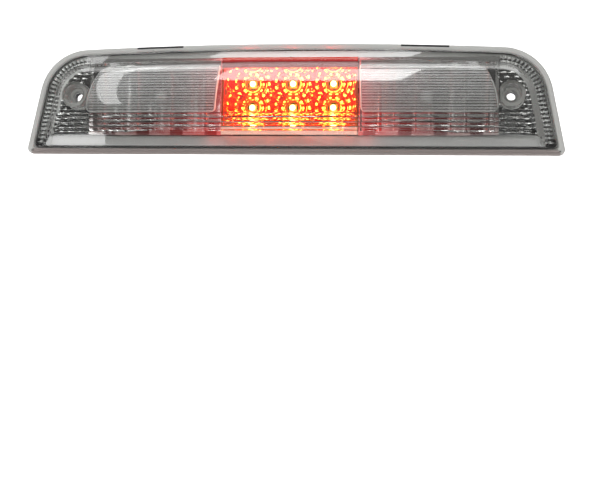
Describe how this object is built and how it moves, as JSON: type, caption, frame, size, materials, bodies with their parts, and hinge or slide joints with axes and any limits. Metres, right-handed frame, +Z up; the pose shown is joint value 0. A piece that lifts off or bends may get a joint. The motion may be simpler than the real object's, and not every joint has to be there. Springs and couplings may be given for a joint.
{
  "type": "third brake light",
  "caption": "High-mount brake light for a pickup cab: clear lens, chrome reflectors, red LED unit, two cargo lamps with twist-lock bulb sockets, housing and gasket.",
  "frame": {"origin": "middle of the cab panel opening, in the plane that the gasket presses on; 40 mm above the bottom edge of the lens rim", "axes": "+X along the lamp to the right as the lens is seen, +Y into the cab, away from the lens, +Z up"},
  "size_m": [0.3918, 0.0609, 0.0806],
  "materials": {
    "clear_lens": "polished clear",
    "clear_optic": "clear, moulded ribs",
    "chrome": "vacuum metallised",
    "housing_plastic": "moulded satin",
    "gasket_foam": "closed-cell foam",
    "sleeve_steel": "zinc plated",
    "circuit_board": "solder mask",
    "component_ceramic": "matt",
    "black_plastic": "moulded",
    "screw_steel": "zinc plated",
    "contact_brass": "plain",
    "seal_rubber": "matt",
    "red_led": "clear red, lit",
    "bulb_glass": "clear"
  },
  "bodies": {
    "lamp_body": {"breather_cap": "seal_rubber", "header_pin_1": "contact_brass", "header_pin_2": "contact_brass", "led_1": "red_led", "led_2": "red_led", "led_3": "red_led", "led_4": "red_led", "led_5": "red_led", "led_6": "red_led", "led_board": "circuit_board", "led_connector_header": "black_plastic", "led_reflector": "chrome", "left_board_screw": "screw_steel", "left_cargo_optic": "clear_optic", "left_cargo_reflector": "chrome", "left_end_trim": "chrome", "left_resistor": "component_ceramic", "left_screw_sleeve": "sleeve_steel", "mounting_gasket": "gasket_foam", "outer_lens": "clear_lens", "protection_diode": "black_plastic", "rear_housing": "housing_plastic", "right_board_screw": "screw_steel", "right_cargo_optic": "clear_optic", "right_cargo_reflector": "chrome", "right_end_trim": "chrome", "right_resistor": "component_ceramic", "right_screw_sleeve": "sleeve_steel"},
    "left_socket": {"left_bulb_socket": "black_plastic", "left_socket_seal": "seal_rubber", "left_bulb": "bulb_glass", "left_socket_blade_1": "contact_brass", "left_socket_blade_2": "contact_brass"},
    "right_socket": {"right_bulb_socket": "black_plastic", "right_socket_seal": "seal_rubber", "right_bulb": "bulb_glass", "right_socket_blade_1": "contact_brass", "right_socket_blade_2": "contact_brass"}
  },
  "joints": [
    {"name": "left_socket_twist", "type": "hinge", "parent": "lamp_body", "child": "left_socket", "pos_m": [-0.098, 0, 0.002], "axis": [0, 1, 0], "range_deg": [0, 45]},
    {"name": "right_socket_twist", "type": "hinge", "parent": "lamp_body", "child": "right_socket", "pos_m": [0.098, 0, 0.002], "axis": [0, 1, 0], "range_deg": [0, 45]}
  ]
}
